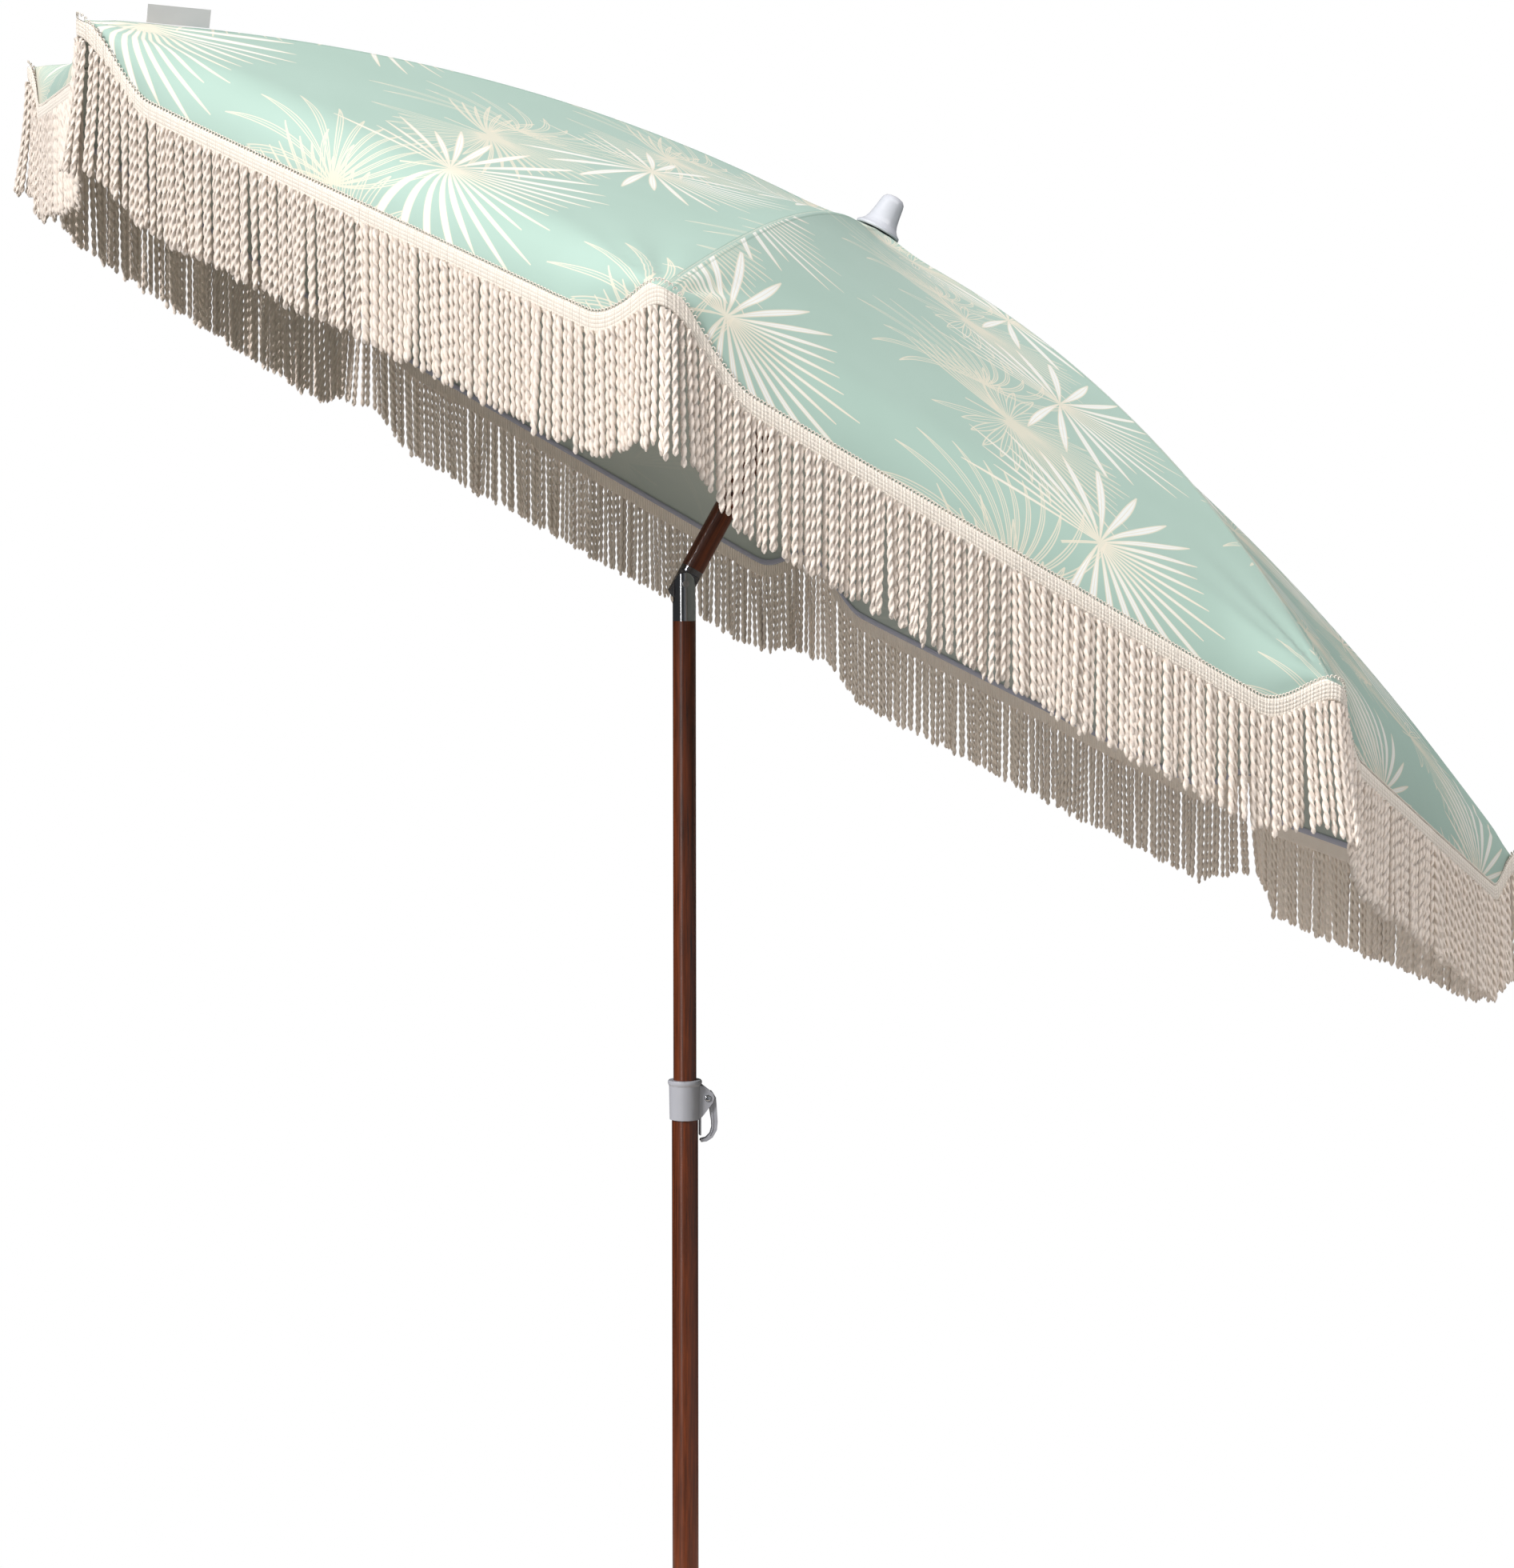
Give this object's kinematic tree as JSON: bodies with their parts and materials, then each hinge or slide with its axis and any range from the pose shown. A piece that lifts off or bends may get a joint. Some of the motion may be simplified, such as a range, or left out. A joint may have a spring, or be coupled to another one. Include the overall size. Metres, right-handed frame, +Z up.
{
  "type": "beach umbrella",
  "caption": "Beach umbrella with a leaning round canopy, long cord fringe, sliding two-part pole, lever clamp, tilt joint and ground spike.",
  "frame": {"origin": "on the pole's axis at the lower end of the lower pole's straight wall, above the ground spike", "axes": "+Z up the pole, +X the way the canopy leans, +Y along the tilt pivot"},
  "size_m": [1.7246, 1.9718, 2.3797],
  "materials": {
    "wood_foil": "gloss",
    "grey_plastic": "satin",
    "white_plastic": "gloss",
    "button_plastic": "satin",
    "dark_plastic": "matte",
    "chrome": "polished",
    "rib_rod": "satin",
    "stretcher_steel": "satin",
    "canopy_cloth": "matte",
    "fringe_cotton": "matte",
    "tag_cloth": "matte"
  },
  "bodies": {
    "base": {"lower_pole": "wood_foil", "sand_spike": "grey_plastic", "clamp_collar": "grey_plastic", "clamp_pin": "chrome", "clamp_pad": "dark_plastic"},
    "lever": {"clamp_lever": "grey_plastic"},
    "mast": {"mid_pole": "wood_foil", "pole_bush": "dark_plastic", "tilt_fork": "chrome", "tilt_rivet": "chrome"},
    "top": {"tilt_lug": "chrome", "upper_pole": "wood_foil", "crown_notch": "white_plastic", "crown_cap": "canopy_cloth", "finial": "white_plastic"},
    "runner": {"runner": "white_plastic", "runner_grip": "button_plastic"},
    "button": {"runner_button": "button_plastic"},
    "rib_1": {"rib_1": "rib_rod", "canopy_1": "canopy_cloth"},
    "stretcher_1": {"stretcher_1": "stretcher_steel"},
    "drop_1": {"heading_1": "fringe_cotton", "fringe_1": "fringe_cotton"},
    "rib_2": {"rib_2": "rib_rod", "canopy_2": "canopy_cloth"},
    "stretcher_2": {"stretcher_2": "stretcher_steel"},
    "drop_2": {"heading_2": "fringe_cotton", "fringe_2": "fringe_cotton"},
    "rib_3": {"rib_3": "rib_rod", "canopy_3": "canopy_cloth"},
    "stretcher_3": {"stretcher_3": "stretcher_steel"},
    "drop_3": {"heading_3": "fringe_cotton", "fringe_3": "fringe_cotton"},
    "rib_4": {"rib_4": "rib_rod", "canopy_4": "canopy_cloth"},
    "stretcher_4": {"stretcher_4": "stretcher_steel"},
    "drop_4": {"heading_4": "fringe_cotton", "fringe_4": "fringe_cotton"},
    "rib_5": {"rib_5": "rib_rod", "canopy_5": "canopy_cloth"},
    "stretcher_5": {"stretcher_5": "stretcher_steel"},
    "drop_5": {"heading_5": "fringe_cotton", "fringe_5": "fringe_cotton"},
    "rib_6": {"rib_6": "rib_rod", "canopy_6": "canopy_cloth", "cloth_tag": "tag_cloth"},
    "stretcher_6": {"stretcher_6": "stretcher_steel"},
    "drop_6": {"heading_6": "fringe_cotton", "fringe_6": "fringe_cotton"},
    "rib_7": {"rib_7": "rib_rod", "canopy_7": "canopy_cloth"},
    "stretcher_7": {"stretcher_7": "stretcher_steel"},
    "drop_7": {"heading_7": "fringe_cotton", "fringe_7": "fringe_cotton"},
    "rib_8": {"rib_8": "rib_rod", "canopy_8": "canopy_cloth"},
    "stretcher_8": {"stretcher_8": "stretcher_steel"},
    "drop_8": {"heading_8": "fringe_cotton", "fringe_8": "fringe_cotton"}
  },
  "joints": [
    {"name": "clamp_swing", "type": "hinge", "parent": "base", "child": "lever", "pos_m": [0.027, 0, 1.026], "axis": [0, -1, 0], "range_deg": [0, 105]},
    {"name": "pole_slide", "type": "slide", "parent": "base", "child": "mast", "axis": [0, 0, 1], "range_m": [-0.45, 0.1]},
    {"name": "tilt", "type": "hinge", "parent": "mast", "child": "top", "pos_m": [0, 0, 1.65], "axis": [0, 1, 0], "range_deg": [-29, 0]},
    {"name": "rib_1_fold", "type": "hinge", "parent": "top", "child": "rib_1", "pos_m": [0.24814, -0.00621, 2.04983], "axis": [0.2264, 0.9659, -0.1255], "range_deg": [0, 72.4], "deforming": ["canopy_1", "canopy_2", "canopy_3", "canopy_4", "canopy_5", "canopy_6", "canopy_7", "canopy_8", "heading_1", "heading_2", "heading_3", "heading_4", "heading_5", "heading_6", "heading_7", "heading_8", "fringe_1", "fringe_2", "fringe_3", "fringe_4", "fringe_5", "fringe_6", "fringe_7", "fringe_8"]},
    {"name": "stretcher_1_fold", "type": "hinge", "parent": "rib_1", "child": "stretcher_1", "pos_m": [0.40062, -0.05797, 1.92644], "axis": [-0.2264, -0.9659, 0.1255], "range_deg": [0, 144.8]},
    {"name": "drop_1_hang", "type": "hinge", "parent": "rib_1", "child": "drop_1", "pos_m": [0.94258, -0.26218, 1.33218], "axis": [-0.2264, -0.9659, 0.1255], "range_deg": [0, 72.4]},
    {"name": "rib_2_fold", "type": "hinge", "parent": "top", "child": "rib_2", "pos_m": [0.24604, 0.012, 2.05099], "axis": [-0.4373, 0.866, 0.2424], "range_deg": [0, 72.4]},
    {"name": "stretcher_2_fold", "type": "hinge", "parent": "rib_2", "child": "stretcher_2", "pos_m": [0.38104, 0.112, 1.93729], "axis": [0.4373, -0.866, -0.2424], "range_deg": [0, 144.8]},
    {"name": "drop_2_hang", "type": "hinge", "parent": "rib_2", "child": "drop_2", "pos_m": [0.85407, 0.5065, 1.38124], "axis": [0.4373, -0.866, -0.2424], "range_deg": [0, 72.4]},
    {"name": "rib_3_fold", "type": "hinge", "parent": "top", "child": "rib_3", "pos_m": [0.23329, 0.02318, 2.05806], "axis": [-0.8448, 0.2588, 0.4683], "range_deg": [0, 72.4]},
    {"name": "stretcher_3_fold", "type": "hinge", "parent": "rib_3", "child": "stretcher_3", "pos_m": [0.26208, 0.21637, 2.00323], "axis": [0.8448, -0.2588, -0.4683], "range_deg": [0, 144.8]},
    {"name": "drop_3_hang", "type": "hinge", "parent": "rib_3", "child": "drop_3", "pos_m": [0.31609, 0.97848, 1.67945], "axis": [0.8448, -0.2588, -0.4683], "range_deg": [0, 72.4]},
    {"name": "rib_4_fold", "type": "hinge", "parent": "top", "child": "rib_4", "pos_m": [0.21737, 0.02079, 2.06689], "axis": [-0.7574, -0.5, 0.4199], "range_deg": [0, 72.4]},
    {"name": "stretcher_4_fold", "type": "hinge", "parent": "rib_4", "child": "stretcher_4", "pos_m": [0.11342, 0.19399, 2.08563], "axis": [0.7574, 0.5, -0.4199], "range_deg": [0, 144.8]},
    {"name": "drop_4_hang", "type": "hinge", "parent": "rib_4", "child": "drop_4", "pos_m": [-0.35621, 0.87728, 2.05211], "axis": [0.7574, 0.5, -0.4199], "range_deg": [0, 72.4]},
    {"name": "rib_5_fold", "type": "hinge", "parent": "top", "child": "rib_5", "pos_m": [0.20758, 0.00621, 2.07231], "axis": [-0.2264, -0.9659, 0.1255], "range_deg": [0, 72.4]},
    {"name": "stretcher_5_fold", "type": "hinge", "parent": "rib_5", "child": "stretcher_5", "pos_m": [0.02214, 0.05797, 2.13623], "axis": [0.2264, 0.9659, -0.1255], "range_deg": [0, 144.8]},
    {"name": "drop_5_hang", "type": "hinge", "parent": "rib_5", "child": "drop_5", "pos_m": [-0.76902, 0.26218, 2.28093], "axis": [0.2264, 0.9659, -0.1255], "range_deg": [0, 72.4]},
    {"name": "rib_6_fold", "type": "hinge", "parent": "top", "child": "rib_6", "pos_m": [0.20968, -0.012, 2.07115], "axis": [0.4373, -0.866, -0.2424], "range_deg": [0, 72.4]},
    {"name": "stretcher_6_fold", "type": "hinge", "parent": "rib_6", "child": "stretcher_6", "pos_m": [0.04171, -0.112, 2.12538], "axis": [-0.4373, 0.866, 0.2424], "range_deg": [0, 144.8]},
    {"name": "drop_6_hang", "type": "hinge", "parent": "rib_6", "child": "drop_6", "pos_m": [-0.68051, -0.5065, 2.23187], "axis": [-0.4373, 0.866, 0.2424], "range_deg": [0, 72.4]},
    {"name": "rib_7_fold", "type": "hinge", "parent": "top", "child": "rib_7", "pos_m": [0.22243, -0.02318, 2.06408], "axis": [0.8448, -0.2588, -0.4683], "range_deg": [0, 72.4]},
    {"name": "stretcher_7_fold", "type": "hinge", "parent": "rib_7", "child": "stretcher_7", "pos_m": [0.16067, -0.21637, 2.05944], "axis": [-0.8448, 0.2588, 0.4683], "range_deg": [0, 144.8]},
    {"name": "drop_7_hang", "type": "hinge", "parent": "rib_7", "child": "drop_7", "pos_m": [-0.14253, -0.97848, 1.93367], "axis": [-0.8448, 0.2588, 0.4683], "range_deg": [0, 72.4]},
    {"name": "rib_8_fold", "type": "hinge", "parent": "top", "child": "rib_8", "pos_m": [0.23836, -0.02079, 2.05525], "axis": [0.7574, 0.5, -0.4199], "range_deg": [0, 72.4]},
    {"name": "stretcher_8_fold", "type": "hinge", "parent": "rib_8", "child": "stretcher_8", "pos_m": [0.30933, -0.19399, 1.97704], "axis": [-0.7574, -0.5, 0.4199], "range_deg": [0, 144.8]},
    {"name": "drop_8_hang", "type": "hinge", "parent": "rib_8", "child": "drop_8", "pos_m": [0.52978, -0.87728, 1.561], "axis": [-0.7574, -0.5, 0.4199], "range_deg": [0, 72.4]},
    {"name": "runner_level", "type": "hinge", "parent": "stretcher_1", "child": "runner", "pos_m": [0.21517, -0.00621, 1.99036], "axis": [0.2264, 0.9659, -0.1255], "range_deg": [0, 72.4]},
    {"name": "button_press", "type": "slide", "parent": "runner", "child": "button", "axis": [-0.8671, -0.1305, 0.4807], "range_m": [0, 0.002], "stiffness_N_per_m": 300}
  ],
  "couplings": [
    {"joint": "stretcher_1_fold", "follows": "rib_1_fold", "ratio": 2},
    {"joint": "drop_1_hang", "follows": "rib_1_fold", "ratio": 1},
    {"joint": "rib_2_fold", "follows": "rib_1_fold", "ratio": 1},
    {"joint": "stretcher_2_fold", "follows": "rib_1_fold", "ratio": 2},
    {"joint": "drop_2_hang", "follows": "rib_1_fold", "ratio": 1},
    {"joint": "rib_3_fold", "follows": "rib_1_fold", "ratio": 1},
    {"joint": "stretcher_3_fold", "follows": "rib_1_fold", "ratio": 2},
    {"joint": "drop_3_hang", "follows": "rib_1_fold", "ratio": 1},
    {"joint": "rib_4_fold", "follows": "rib_1_fold", "ratio": 1},
    {"joint": "stretcher_4_fold", "follows": "rib_1_fold", "ratio": 2},
    {"joint": "drop_4_hang", "follows": "rib_1_fold", "ratio": 1},
    {"joint": "rib_5_fold", "follows": "rib_1_fold", "ratio": 1},
    {"joint": "stretcher_5_fold", "follows": "rib_1_fold", "ratio": 2},
    {"joint": "drop_5_hang", "follows": "rib_1_fold", "ratio": 1},
    {"joint": "rib_6_fold", "follows": "rib_1_fold", "ratio": 1},
    {"joint": "stretcher_6_fold", "follows": "rib_1_fold", "ratio": 2},
    {"joint": "drop_6_hang", "follows": "rib_1_fold", "ratio": 1},
    {"joint": "rib_7_fold", "follows": "rib_1_fold", "ratio": 1},
    {"joint": "stretcher_7_fold", "follows": "rib_1_fold", "ratio": 2},
    {"joint": "drop_7_hang", "follows": "rib_1_fold", "ratio": 1},
    {"joint": "rib_8_fold", "follows": "rib_1_fold", "ratio": 1},
    {"joint": "stretcher_8_fold", "follows": "rib_1_fold", "ratio": 2},
    {"joint": "drop_8_hang", "follows": "rib_1_fold", "ratio": 1},
    {"joint": "runner_level", "follows": "rib_1_fold", "ratio": 1}
  ]
}
